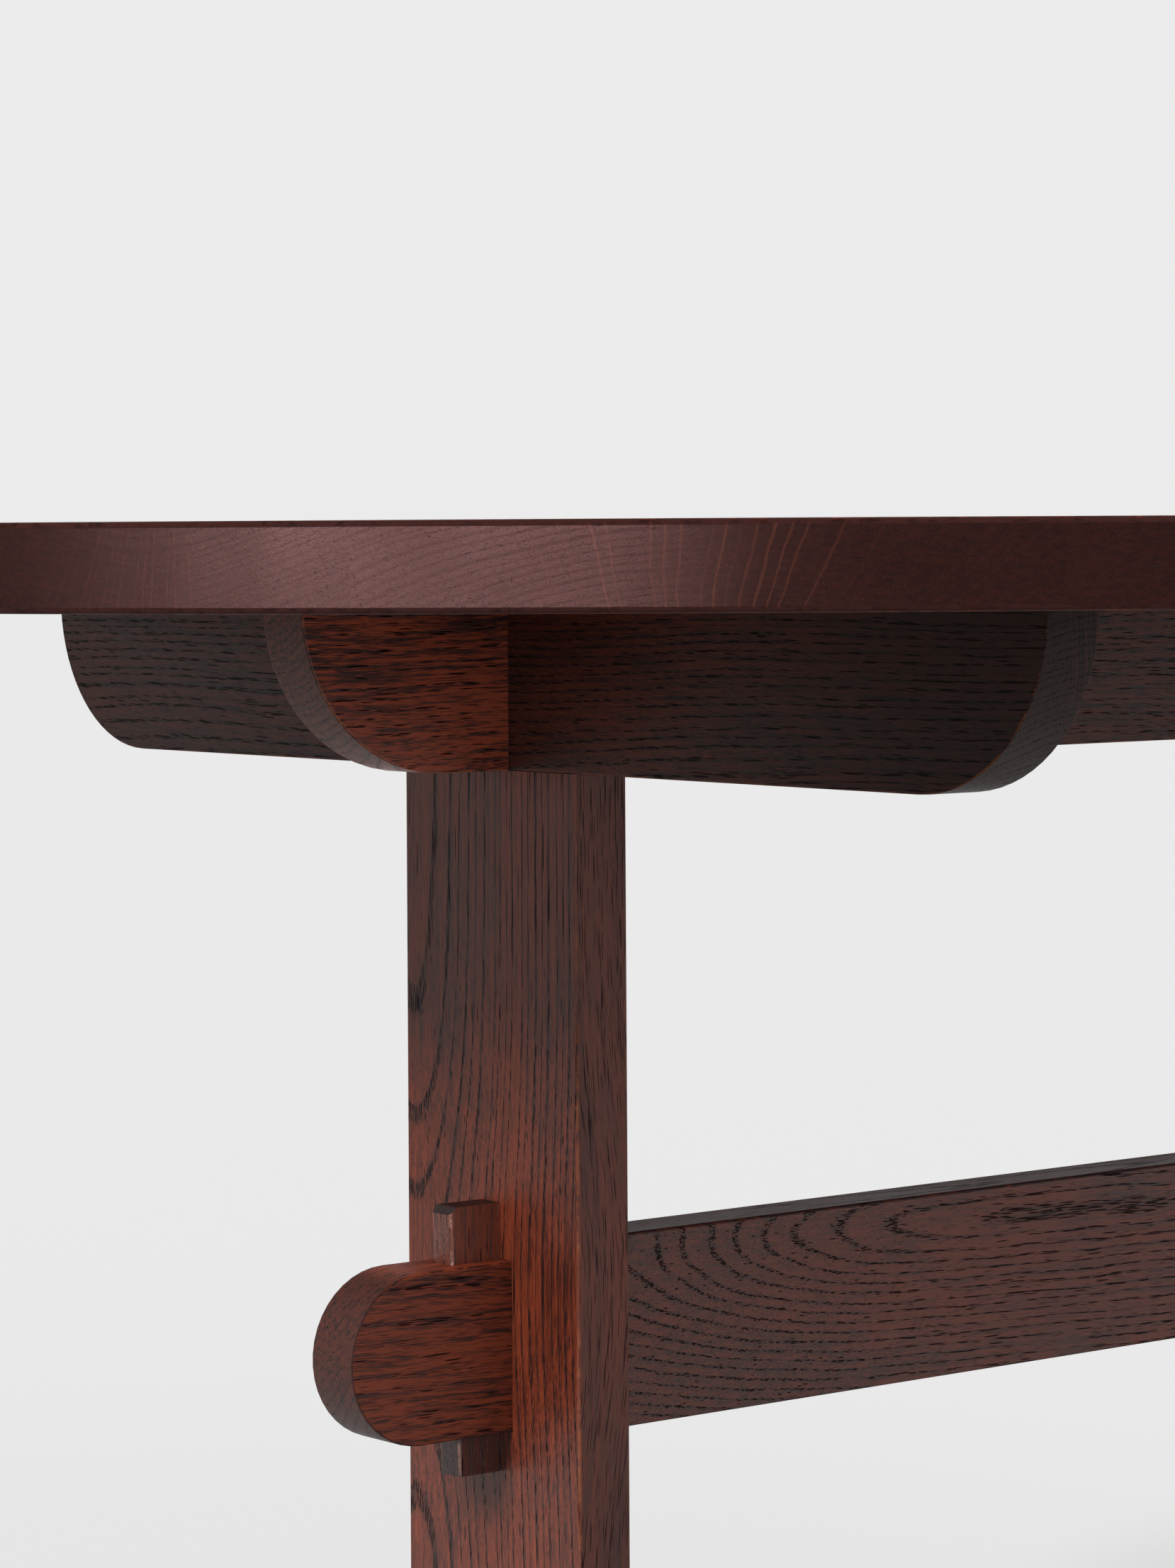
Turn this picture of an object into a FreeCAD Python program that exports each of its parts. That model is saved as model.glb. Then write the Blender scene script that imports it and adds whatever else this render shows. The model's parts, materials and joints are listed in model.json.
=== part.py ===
import FreeCAD, Part
import math
import os

import Sketcher
from FreeCAD import Rotation, Vector

# A knock-down trestle dining table in oak.
#
# Frame: X runs along the table, Y across it, Z up. The origin is on the floor under the middle.
# Two trestles stand at -X (left) and +X (right). Each is a foot, a wide post and a bearer in one
# plane. A stretcher passes through both posts and is locked outside them by a wedge, and a top
# rail crosses over both bearers. The oval top is bolted to the bearers and the rail from below.

# Driving dimensions, in millimetres.
SIZES = {
    # the oval top, glued up from equal boards
    "table_height": 740,
    "top_length": 1980,
    "top_width": 1200,
    "top_thickness": 35,
    "top_edge_round": 2.5,
    "board_count": 7,
    # the trestles
    "end_overhang": 356,  # from a post's outer face to the end of the top
    "post_width": 126,
    "post_thickness": 29,
    "bearer_length": 716,
    "bearer_height": 76,
    "end_round": 75,  # the quarter-round ends of bearers, rail and feet
    "foot_length": 760,
    "foot_height": 76,
    "foot_relief": 6,
    "foot_pad": 120,
    "relief_slope": 24,
    # stub tenons at both ends of a post, two side by side
    "tenon_thickness": 12,
    "tenon_length": 44,
    "tenon_inset": 8,
    "tenon_rail_clearance": 7,
    "mortise_end_gap": 2,
    # the top rail
    "rail_thickness": 30,
    "rail_reach": 112,  # from a post's outer face to the rail's end
    # the stretcher and its tongues
    "stretcher_level": 372,
    "stretcher_height": 88,
    "stretcher_thickness": 30,
    "tongue_height": 76,
    "tongue_reach": 88,
    "tongue_gap": 0.25,
    # the wedges
    "wedge_width": 14,
    "wedge_depth_top": 28,
    "wedge_depth_bottom": 23.5,
    "wedge_above": 25.5,
    "wedge_below": 18.5,
    "wedge_side_gap": 0.25,
    "wedge_face_gap": 0.05,
    "wedge_post_relief": 2,
    "wedge_chamfer": 3.3,
    "wedge_arris": 1.8,
    # the small round on the arrises of the frame
    "arris_round": 1,
    "post_arris_round": 1.8,
    "stretcher_top_round": 2,
    # bolts that hold the top down
    "bolt_radius": 3,
    "bolt_engagement": 17.4,
    "bolt_head_radius": 5.25,
    "bolt_head_height": 3.3,
    "socket_across": 4,
    "socket_depth": 2,
    "bolt_hole_radius": 4,
    "bolt_bore_radius": 8.5,
    "bolt_bore_depth": 40,
    "washer_radius": 8,
    "washer_thickness": 1.6,
    "washer_hole_radius": 3.2,
    "inner_bolt_offset": 110,
    "outer_bolt_offset": 220,
    "rail_bolt_offset": 300,
    # threaded inserts in the top
    "insert_radius": 4.5,
    "insert_length": 20,
    "insert_hole_depth": 22,
    "insert_thread_gap": 0.1,
    "insert_gap": 0.05,
    # glides under the feet
    "glide_radius": 12,
    "glide_thickness": 5,
    "glide_setback": 45,
    "glide_chamfer": 1,
    "nail_radius": 1.2,
    "nail_length": 18,
    "nail_head_radius": 3,
    "nail_head_height": 1,
    "nail_recess": 2,
    "nail_gap": 0.1,
}

SIDES = {"left": -1, "right": 1}
ENDS = {"front": -1, "back": 1}
TOLERANCE = 0.01

doc = FreeCAD.newDocument("trestle_table")
sheet = doc.addObject("Spreadsheet::Sheet", "Sizes")
for row, (name, value) in enumerate(SIZES.items(), start=1):
    sheet.set(f"A{row}", name)
    sheet.set(f"B{row}", str(value))
    sheet.setAlias(f"B{row}", name)
doc.recompute()


class Size:
    """A length that carries its value and the spreadsheet expression it comes from."""

    def __init__(self, value, text=None):
        self.value = value
        self.text = text or repr(value)

    def combine(self, other, sign, result):
        return Size(result, f"({self.text} {sign} {as_size(other).text})")

    def __add__(self, other):
        return self.combine(other, "+", self.value + as_size(other).value)

    def __sub__(self, other):
        return self.combine(other, "-", self.value - as_size(other).value)

    def __mul__(self, other):
        return self.combine(other, "*", self.value * as_size(other).value)

    def __truediv__(self, other):
        return self.combine(other, "/", self.value / as_size(other).value)

    def __neg__(self):
        return self * -1


def as_size(term):
    return term if isinstance(term, Size) else Size(term)


class Sizes:
    """Every driving dimension as an attribute."""

    def __init__(self):
        for name in SIZES:
            setattr(self, name, Size(float(sheet.get(name)), f"Sizes.{name}"))


size = Sizes()

# Levels above the floor
UNDER_TOP = size.table_height - size.top_thickness
BEARER_LOW = UNDER_TOP - size.bearer_height
FOOT_LOW = size.glide_thickness
FOOT_TOP = FOOT_LOW + size.foot_height
TONGUE_LOW = size.stretcher_level - size.tongue_height / 2
TONGUE_TOP = size.stretcher_level + size.tongue_height / 2
BOLT_SEAT = BEARER_LOW + size.bolt_bore_depth

# Places along X
POST_OUTER = size.top_length / 2 - size.end_overhang
POST_INNER = POST_OUTER - size.post_thickness
POST_CENTRE = POST_OUTER - size.post_thickness / 2
RAIL_END = POST_OUTER + size.rail_reach
TONGUE_END = POST_OUTER + size.tongue_reach

# The wedge: its outer face leans, its inner face stands against the post
WEDGE_LOW = TONGUE_LOW - size.wedge_below
WEDGE_TOP = TONGUE_TOP + size.wedge_above
WEDGE_SLOPE = (size.wedge_depth_top - size.wedge_depth_bottom) / (WEDGE_TOP - WEDGE_LOW)

# Twin stub tenons leave the middle of the bearer to the rail
TENON_NEAR = size.rail_thickness / 2 + size.tenon_rail_clearance
TENON_FAR = size.post_width / 2 - size.tenon_inset


def bind(thing, path, term):
    thing.setExpression(path, as_size(term).text)


def limited(term, wall):
    """A round that is held back a little where the wall is smaller than it."""
    reach = wall - 1
    return Size(min(term.value, reach.value), f"min({term.text}; {reach.text})")


# ---------------------------------------------------------------- sketches


def new_body(label):
    body = doc.addObject("PartDesign::Body", label)
    body.Label = label
    return body


def new_sketch(body, name, role):
    sketch = body.newObject("Sketcher::SketchObject", name)
    plane = next(item for item in body.Origin.OriginFeatures if item.Role == role)
    sketch.AttachmentSupport = [(plane, "")]
    sketch.MapMode = "FlatFace"
    return sketch


ORIGIN = (-1, 1)
X_AXIS = -1
Y_AXIS = -2
CENTRE = 3


def hold(sketch, kind, *where):
    """Adds a constraint. A Size at the end of where drives it."""
    term = where[-1] if isinstance(where[-1], Size) else None
    if term is None:
        return sketch.addConstraint(Sketcher.Constraint(kind, *where))
    index = sketch.addConstraint(Sketcher.Constraint(kind, *where[:-1], term.value))
    sketch.setExpression(f"Constraints[{index}]", term.text)
    return index


def hold_point(sketch, curve, point, across, along):
    """Places one point of a curve at (across, along) from the sketch's origin."""
    hold(sketch, "DistanceX", *ORIGIN, curve, point, as_size(across))
    hold(sketch, "DistanceY", *ORIGIN, curve, point, as_size(along))


def polygon(sketch, corners):
    corners = [(as_size(across), as_size(along)) for across, along in corners]
    places = [Vector(across.value, along.value, 0) for across, along in corners]
    first = sketch.GeometryCount
    for start, end in zip(places, places[1:] + places[:1]):
        sketch.addGeometry(Part.LineSegment(start, end))
    for step in range(len(corners)):
        following = (step + 1) % len(corners)
        hold(sketch, "Coincident", first + step, 2, first + following, 1)
    for step, (across, along) in enumerate(corners):
        hold_point(sketch, first + step, 1, across, along)


def rectangle(sketch, left, right, low, high):
    polygon(sketch, [(left, low), (right, low), (right, high), (left, high)])


def circle(sketch, across, along, radius):
    centre = Vector(as_size(across).value, as_size(along).value, 0)
    curve = sketch.addGeometry(Part.Circle(centre, Vector(0, 0, 1), radius.value))
    hold(sketch, "Radius", curve, radius)
    hold_point(sketch, curve, CENTRE, across, along)


def stadium(sketch, half_length, middle, half_height):
    """A bar with half-round ends, centred across the sketch at the level middle."""
    ends = half_length - half_height
    low = middle - half_height
    high = middle + half_height
    left = Part.Circle(Vector(-ends.value, middle.value, 0), Vector(0, 0, 1), half_height.value)
    right = Part.Circle(Vector(ends.value, middle.value, 0), Vector(0, 0, 1), half_height.value)
    quarter = math.pi / 2
    left_arc = sketch.addGeometry(Part.ArcOfCircle(left, quarter, 3 * quarter))
    lower = sketch.addGeometry(
        Part.LineSegment(Vector(-ends.value, low.value, 0), Vector(ends.value, low.value, 0))
    )
    right_arc = sketch.addGeometry(Part.ArcOfCircle(right, -quarter, quarter))
    upper = sketch.addGeometry(
        Part.LineSegment(Vector(ends.value, high.value, 0), Vector(-ends.value, high.value, 0))
    )
    chain = [left_arc, lower, right_arc, upper]
    for this, following in zip(chain, chain[1:] + chain[:1]):
        hold(sketch, "Tangent", this, 2, following, 1)
    hold(sketch, "Horizontal", lower)
    hold(sketch, "Radius", left_arc, half_height)
    hold_point(sketch, left_arc, CENTRE, -ends, middle)
    hold_point(sketch, right_arc, CENTRE, ends, middle)


def oval(sketch, half_length, half_width):
    sketch.addGeometry(
        Part.Ellipse(Vector(half_length.value, 0, 0), Vector(0, half_width.value, 0), Vector())
    )
    sketch.exposeInternalGeometry(0)
    long_axis = 1
    short_axis = 2
    hold(sketch, "Coincident", 0, CENTRE, *ORIGIN)
    hold(sketch, "PointOnObject", long_axis, 1, X_AXIS)
    hold(sketch, "Distance", long_axis, half_length * 2)
    hold(sketch, "Distance", short_axis, half_width * 2)


# ---------------------------------------------------------------- features


def pad(body, sketch, length, symmetric=True):
    feature = body.newObject("PartDesign::Pad", f"{sketch.Name}_pad")
    feature.Profile = sketch
    feature.SideType = "Symmetric" if symmetric else "One side"
    bind(feature, "Length", length)
    sketch.Visibility = False
    doc.recompute()
    return feature


def pocket(body, sketch, length, symmetric=True):
    """Cuts the sketch out: both ways from its plane, or upwards from the XY plane."""
    before = body.Shape.Volume
    feature = body.newObject("PartDesign::Pocket", f"{sketch.Name}_pocket")
    feature.Profile = sketch
    feature.SideType = "Symmetric" if symmetric else "One side"
    feature.Reversed = not symmetric
    bind(feature, "Length", length)
    sketch.Visibility = False
    doc.recompute()
    if body.Shape.Volume > before - TOLERANCE:
        raise RuntimeError(f"{feature.Name} cuts nothing")
    return feature


def edges_where(feature, rule):
    edges = enumerate(feature.Shape.Edges, start=1)
    return [f"Edge{number}" for number, edge in edges if rule(edge)]


def dress(body, kind, name, rule, term):
    """A Fillet or Chamfer of every edge that the rule picks."""
    base = body.Tip
    picked = edges_where(base, rule)
    if not picked:
        raise RuntimeError(f"{name} finds no edge")
    feature = body.newObject(f"PartDesign::{kind}", f"{body.Name}_{name}")
    feature.Base = (base, picked)
    bind(feature, "Radius" if kind == "Fillet" else "Size", term)
    doc.recompute()
    return feature


def runs_along(edge, axis):
    """True for a straight edge that runs along 0 for X, 1 for Y or 2 for Z."""
    start, end = edge.Vertexes[0].Point, edge.Vertexes[-1].Point
    others = [number for number in range(3) if number != axis]
    still = all(abs(start[number] - end[number]) < TOLERANCE for number in others)
    return still and abs(start[axis] - end[axis]) > TOLERANCE


def on_face(edge, axis, level):
    """True for an edge that lies in the plane at that level along the axis."""
    box = edge.BoundBox
    low = (box.XMin, box.YMin, box.ZMin)[axis]
    high = (box.XMax, box.YMax, box.ZMax)[axis]
    return abs(low - level.value) < TOLERANCE and abs(high - level.value) < TOLERANCE


def place(thing, x=0, y=0, z=0, turned=False):
    if turned:
        thing.Placement = FreeCAD.Placement(Vector(), Rotation(Vector(0, 0, 1), 180))
    for letter, term in (("x", x), ("y", y), ("z", z)):
        bind(thing, f"Placement.Base.{letter}", term)


# ---------------------------------------------------------------- the trestles


def twin_rectangles(sketch, low, high):
    """The two stub tenons, or their two mortises, either side of the middle."""
    rectangle(sketch, -TENON_FAR, -TENON_NEAR, low, high)
    rectangle(sketch, TENON_NEAR, TENON_FAR, low, high)


def make_post(side, sign):
    body = new_body(f"{side}_post")
    plank = new_sketch(body, f"{side}_post_plank", "YZ_Plane")
    rectangle(plank, -size.post_width / 2, size.post_width / 2, FOOT_TOP, BEARER_LOW)
    pad(body, plank, size.post_thickness)
    dress(body, "Fillet", "arrises", lambda edge: runs_along(edge, 2), size.post_arris_round)

    tenons = new_sketch(body, f"{side}_post_tenons", "YZ_Plane")
    twin_rectangles(tenons, FOOT_TOP - size.tenon_length, FOOT_TOP)
    twin_rectangles(tenons, BEARER_LOW, BEARER_LOW + size.tenon_length)
    pad(body, tenons, size.tenon_thickness)

    mortise = new_sketch(body, f"{side}_post_mortise", "YZ_Plane")
    half_width = size.stretcher_thickness / 2 + size.tongue_gap
    rectangle(
        mortise, -half_width, half_width, TONGUE_LOW - size.tongue_gap, TONGUE_TOP + size.tongue_gap
    )
    pocket(body, mortise, size.post_thickness * 2)
    place(body, x=POST_CENTRE * sign)


def drill_for_bolts(body, name, spots):
    """A clearance hole up through the piece at each spot, with a wide bore for the bolt's head."""
    holes = new_sketch(body, f"{name}_bolt_holes", "XY_Plane")
    bores = new_sketch(body, f"{name}_bolt_bores", "XY_Plane")
    for across, along in spots:
        circle(holes, across, along, size.bolt_hole_radius)
        circle(bores, across, along, size.bolt_bore_radius)
    pocket(body, holes, size.table_height, symmetric=False)
    pocket(body, bores, BOLT_SEAT, symmetric=False)


def make_bearer(side, sign):
    body = new_body(f"{side}_bearer")
    beam = new_sketch(body, f"{side}_bearer_beam", "YZ_Plane")
    half_length = size.bearer_length / 2
    rectangle(beam, -half_length, half_length, BEARER_LOW, UNDER_TOP)
    pad(body, beam, size.post_thickness)

    def lower_end(edge):
        return runs_along(edge, 0) and on_face(edge, 2, BEARER_LOW)

    def exposed_arris(edge):
        in_a_face = on_face(edge, 0, half_thickness) or on_face(edge, 0, -half_thickness)
        return in_a_face and not on_face(edge, 2, UNDER_TOP)

    half_thickness = size.post_thickness / 2
    dress(body, "Fillet", "ends", lower_end, limited(size.end_round, size.bearer_height))
    dress(body, "Fillet", "arrises", exposed_arris, size.arris_round)

    notch = new_sketch(body, f"{side}_bearer_notch", "YZ_Plane")
    half_rail = size.rail_thickness / 2
    rectangle(notch, -half_rail, half_rail, UNDER_TOP - size.bearer_height / 2, size.table_height)
    pocket(body, notch, size.post_thickness * 2)

    mortises = new_sketch(body, f"{side}_bearer_mortises", "YZ_Plane")
    mortise_top = BEARER_LOW + size.tenon_length + size.mortise_end_gap
    twin_rectangles(mortises, FOOT_LOW, mortise_top)
    pocket(body, mortises, size.tenon_thickness)

    offsets = (size.inner_bolt_offset, size.outer_bolt_offset)
    drill_for_bolts(body, f"{side}_bearer", [(0, d * end) for d in offsets for end in (-1, 1)])
    place(body, x=POST_CENTRE * sign)


def make_foot(side, sign):
    body = new_body(f"{side}_foot")
    beam = new_sketch(body, f"{side}_foot_beam", "YZ_Plane")
    half_length = size.foot_length / 2
    rectangle(beam, -half_length, half_length, FOOT_LOW, FOOT_TOP)
    pad(body, beam, size.post_thickness)

    def upper_end(edge):
        return runs_along(edge, 0) and on_face(edge, 2, FOOT_TOP)

    def exposed_arris(edge):
        in_a_face = on_face(edge, 0, half_thickness) or on_face(edge, 0, -half_thickness)
        return in_a_face and not on_face(edge, 2, FOOT_LOW)

    half_thickness = size.post_thickness / 2
    dress(body, "Fillet", "ends", upper_end, limited(size.end_round, size.foot_height))
    dress(body, "Fillet", "arrises", exposed_arris, size.arris_round)

    relief = new_sketch(body, f"{side}_foot_relief", "YZ_Plane")
    outer = half_length - size.foot_pad
    inner = outer - size.relief_slope
    relief_top = FOOT_LOW + size.foot_relief
    polygon(relief, [(-outer, FOOT_LOW), (outer, FOOT_LOW), (inner, relief_top), (-inner, relief_top)])
    pocket(body, relief, size.post_thickness * 2)

    mortises = new_sketch(body, f"{side}_foot_mortises", "YZ_Plane")
    mortise_low = FOOT_TOP - size.tenon_length - size.mortise_end_gap
    twin_rectangles(mortises, mortise_low, BEARER_LOW)
    pocket(body, mortises, size.tenon_thickness)

    pilots = new_sketch(body, f"{side}_foot_pilots", "XY_Plane")
    for end in ENDS.values():
        circle(pilots, 0, GLIDE_OFFSET * end, size.nail_radius + size.nail_gap)
    pocket(body, pilots, size.nail_recess + size.nail_length + size.nail_gap, symmetric=False)
    place(body, x=POST_CENTRE * sign)


# ---------------------------------------------------------------- the long pieces


def make_rail():
    body = new_body("top_rail")
    beam = new_sketch(body, "rail_beam", "XZ_Plane")
    rectangle(beam, -RAIL_END, RAIL_END, BEARER_LOW, UNDER_TOP)
    pad(body, beam, size.rail_thickness)

    def lower_end(edge):
        return runs_along(edge, 1) and on_face(edge, 2, BEARER_LOW)

    def exposed_arris(edge):
        in_a_face = on_face(edge, 1, half_thickness) or on_face(edge, 1, -half_thickness)
        return in_a_face and not on_face(edge, 2, UNDER_TOP)

    half_thickness = size.rail_thickness / 2
    dress(body, "Fillet", "ends", lower_end, limited(size.end_round, size.bearer_height))
    dress(body, "Fillet", "arrises", exposed_arris, size.arris_round)

    notches = new_sketch(body, "rail_notches", "XZ_Plane")
    notch_top = UNDER_TOP - size.bearer_height / 2
    rectangle(notches, -POST_OUTER, -POST_INNER, FOOT_LOW, notch_top)
    rectangle(notches, POST_INNER, POST_OUTER, FOOT_LOW, notch_top)
    pocket(body, notches, size.rail_thickness * 2)

    drill_for_bolts(body, "rail", [(size.rail_bolt_offset * step, 0) for step in (-1, 0, 1)])


def make_stretcher():
    body = new_body("stretcher")
    beam = new_sketch(body, "stretcher_beam", "XZ_Plane")
    half_height = size.stretcher_height / 2
    beam_low = size.stretcher_level - half_height
    beam_top = size.stretcher_level + half_height
    rectangle(beam, -POST_INNER, POST_INNER, beam_low, beam_top)
    pad(body, beam, size.stretcher_thickness)
    tongues = new_sketch(body, "stretcher_tongues", "XZ_Plane")
    stadium(tongues, TONGUE_END, size.stretcher_level, size.tongue_height / 2)
    pad(body, tongues, size.stretcher_thickness)

    def top_arris(edge):
        return runs_along(edge, 0) and on_face(edge, 2, beam_top)

    def other_arris(edge):
        in_a_face = on_face(edge, 1, half_thickness) or on_face(edge, 1, -half_thickness)
        return in_a_face and not runs_along(edge, 2) and not top_arris(edge)

    half_thickness = size.stretcher_thickness / 2
    dress(body, "Fillet", "arrises", other_arris, size.arris_round)
    dress(body, "Fillet", "top_arrises", top_arris, size.stretcher_top_round)

    slots = new_sketch(body, "stretcher_wedge_slots", "XZ_Plane")
    for sign in SIDES.values():
        inner = POST_OUTER - size.wedge_post_relief
        outer = POST_OUTER + size.wedge_face_gap * 2 + size.wedge_depth_bottom
        at_low = outer + WEDGE_SLOPE * (TONGUE_LOW - WEDGE_LOW)
        at_top = outer + WEDGE_SLOPE * (TONGUE_TOP - WEDGE_LOW)
        polygon(
            slots,
            [
                (inner * sign, TONGUE_LOW),
                (at_low * sign, TONGUE_LOW),
                (at_top * sign, TONGUE_TOP),
                (inner * sign, TONGUE_TOP),
            ],
        )
    pocket(body, slots, size.wedge_width + size.wedge_side_gap * 2)


def make_wedge(side, sign):
    """The wedge stands at local X = 0 against the post and reaches out towards -X."""
    body = new_body(f"{side}_wedge")
    profile = new_sketch(body, f"{side}_wedge_profile", "XZ_Plane")
    near = -size.wedge_face_gap
    far_low = near - size.wedge_depth_bottom
    far_top = near - size.wedge_depth_top
    polygon(
        profile, [(near, WEDGE_LOW), (near, WEDGE_TOP), (far_top, WEDGE_TOP), (far_low, WEDGE_LOW)]
    )
    pad(body, profile, size.wedge_width)

    def struck_edge(edge):
        return runs_along(edge, 1) and on_face(edge, 2, WEDGE_TOP) and on_face(edge, 0, far_top)

    def outer_arris(edge):
        leans = abs(edge.BoundBox.XLength) > TOLERANCE
        return leans and edge.BoundBox.ZLength > size.tongue_height.value

    dress(body, "Chamfer", "struck_edge", struck_edge, size.wedge_chamfer)
    dress(body, "Fillet", "arrises", outer_arris, size.wedge_arris)
    place(body, x=POST_OUTER * sign, turned=sign > 0)


# ---------------------------------------------------------------- the top


def bolt_spots():
    """Where the bolts stand, as (x, y): four in each bearer and three along the rail."""
    offsets = (size.inner_bolt_offset, size.outer_bolt_offset)
    in_bearers = [
        (POST_CENTRE * sign, offset * end)
        for sign in SIDES.values()
        for offset in offsets
        for end in (-1, 1)
    ]
    in_rail = [(size.rail_bolt_offset * step, as_size(0)) for step in (-1, 0, 1)]
    return in_bearers + in_rail


def make_top():
    """The boards are glued up, cut to the oval and rounded together, and then told apart."""
    blank = new_body("top_blank")
    outline = new_sketch(blank, "top_outline", "XY_Plane")
    oval(outline, size.top_length / 2, size.top_width / 2)
    pad(blank, outline, size.top_thickness, symmetric=False)
    dress(blank, "Fillet", "rims", lambda edge: True, size.top_edge_round)
    holes = new_sketch(blank, "top_insert_holes", "XY_Plane")
    for across, along in bolt_spots():
        circle(holes, across, along, size.insert_radius + size.insert_gap)
    pocket(blank, holes, size.insert_hole_depth, symmetric=False)
    place(blank, z=UNDER_TOP)

    count = round(size.board_count.value)
    board_width = size.top_width / size.board_count
    for number in range(count):
        strip = doc.addObject("Part::Box", f"strip_{number + 1}")
        bind(strip, "Length", size.top_length * 2)
        bind(strip, "Width", board_width)
        bind(strip, "Height", size.table_height)
        place(strip, x=-size.top_length, y=board_width * number - size.top_width / 2)
        board = doc.addObject("Part::Common", f"top_board_{number + 1}")
        board.Label = f"top_board_{number + 1}"
        board.Base = blank
        board.Tool = strip
        board.Refine = True
    doc.recompute()


# ---------------------------------------------------------------- fasteners and glides


def make_group(label, pattern, spots, level):
    """One node of equal small pieces, each a copy of the pattern at a spot."""
    copies = []
    for number, (across, along) in enumerate(spots, start=1):
        copy = doc.addObject("App::Link", f"{label}_{number}")
        copy.LinkedObject = pattern
        place(copy, across, along, level)
        copies.append(copy)
    group = doc.addObject("Part::Compound", label)
    group.Label = label
    group.Links = copies
    doc.recompute()


def turned_piece(name, corners):
    """A piece turned about Z from a half profile of (radius, height) corners."""
    body = new_body(name)
    profile = new_sketch(body, f"{name}_profile", "XZ_Plane")
    polygon(profile, corners)
    feature = body.newObject("PartDesign::Revolution", f"{name}_turning")
    feature.Profile = profile
    feature.ReferenceAxis = (profile, ["V_Axis"])
    feature.Angle = 360
    profile.Visibility = False
    doc.recompute()
    return body


def make_bolts():
    """Button-head bolts, each with its washer, screwed into an insert in the top."""
    through = size.bearer_height - size.bolt_bore_depth + size.washer_thickness
    head_top = size.bolt_head_height
    tip = head_top + through + size.bolt_engagement
    bolt = turned_piece(
        "bolt",
        [
            (0, 0),
            (size.bolt_head_radius, 0),
            (size.bolt_head_radius, head_top),
            (size.bolt_radius, head_top),
            (size.bolt_radius, tip),
            (0, tip),
        ],
    )
    socket = new_sketch(bolt, "bolt_socket", "XY_Plane")
    corner = size.socket_across / math.sqrt(3)
    turns = [math.radians(60 * step) for step in range(6)]
    polygon(socket, [(corner * math.cos(turn), corner * math.sin(turn)) for turn in turns])
    pocket(bolt, socket, size.socket_depth, symmetric=False)
    head_level = BOLT_SEAT - size.washer_thickness - size.bolt_head_height
    make_group("top_bolts", bolt, bolt_spots(), head_level)

    washer = turned_piece(
        "washer",
        [
            (size.washer_hole_radius, 0),
            (size.washer_radius, 0),
            (size.washer_radius, size.washer_thickness),
            (size.washer_hole_radius, size.washer_thickness),
        ],
    )
    make_group("top_washers", washer, bolt_spots(), BOLT_SEAT - size.washer_thickness)

    bore = size.bolt_radius + size.insert_thread_gap
    insert = turned_piece(
        "insert",
        [
            (bore, 0),
            (size.insert_radius, 0),
            (size.insert_radius, size.insert_length),
            (bore, size.insert_length),
        ],
    )
    make_group("top_inserts", insert, bolt_spots(), UNDER_TOP)


GLIDE_OFFSET = size.foot_length / 2 - size.glide_setback


def make_glides():
    spots = []
    for side, sign in SIDES.items():
        for end, direction in ENDS.items():
            spot = (POST_CENTRE * sign, GLIDE_OFFSET * direction)
            spots.append(spot)
            name = f"{side}_{end}_glide"
            rim = size.glide_radius - size.glide_chamfer
            hole = size.nail_radius + size.nail_gap
            recess = size.nail_head_radius + size.nail_gap
            glide = turned_piece(
                name,
                [
                    (recess, 0),
                    (rim, 0),
                    (size.glide_radius, size.glide_chamfer),
                    (size.glide_radius, size.glide_thickness),
                    (hole, size.glide_thickness),
                    (hole, size.nail_recess),
                    (recess, size.nail_recess),
                ],
            )
            place(glide, *spot)
    nail = turned_piece(
        "nail",
        [
            (0, 0),
            (size.nail_head_radius, 0),
            (size.nail_head_radius, size.nail_head_height),
            (size.nail_radius, size.nail_head_height),
            (size.nail_radius, size.nail_length),
            (0, size.nail_length),
        ],
    )
    make_group("glide_nails", nail, spots, size.nail_recess - size.nail_head_height)


# ---------------------------------------------------------------- the whole table

for side, sign in SIDES.items():
    make_foot(side, sign)
    make_post(side, sign)
    make_bearer(side, sign)
    make_wedge(side, sign)
make_rail()
make_stretcher()
make_top()
make_bolts()
make_glides()
doc.recompute()

TRESTLE_NODES = [f"{side}_{piece}" for side in SIDES for piece in ("foot", "post", "bearer", "wedge")]
BOARD_NODES = [f"top_board_{number + 1}" for number in range(round(size.board_count.value))]
GLIDE_NODES = [f"{side}_{end}_glide" for side in SIDES for end in ENDS]
FASTENER_NODES = ["top_bolts", "top_washers", "top_inserts", "glide_nails"]
NODES = TRESTLE_NODES + ["top_rail", "stretcher"] + BOARD_NODES + FASTENER_NODES + GLIDE_NODES

for thing in doc.Objects:
    if {"Invalid", "Error"} & set(thing.State):
        raise RuntimeError(f"{thing.Name} failed: {thing.State}")

os.makedirs("parts", exist_ok=True)
for node in NODES:
    shape = doc.getObjectsByLabel(node)[0].Shape
    if shape.isNull() or not shape.isValid():
        raise RuntimeError(f"{node} has no valid shape")
    shape.exportStep(f"parts/{node}.step")
    print(f"{node}: {len(shape.Solids)} solids, {shape.Volume / 1000:.1f} cm3")
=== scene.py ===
import json
import math

import bpy
from mathutils import Matrix, Vector

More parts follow.
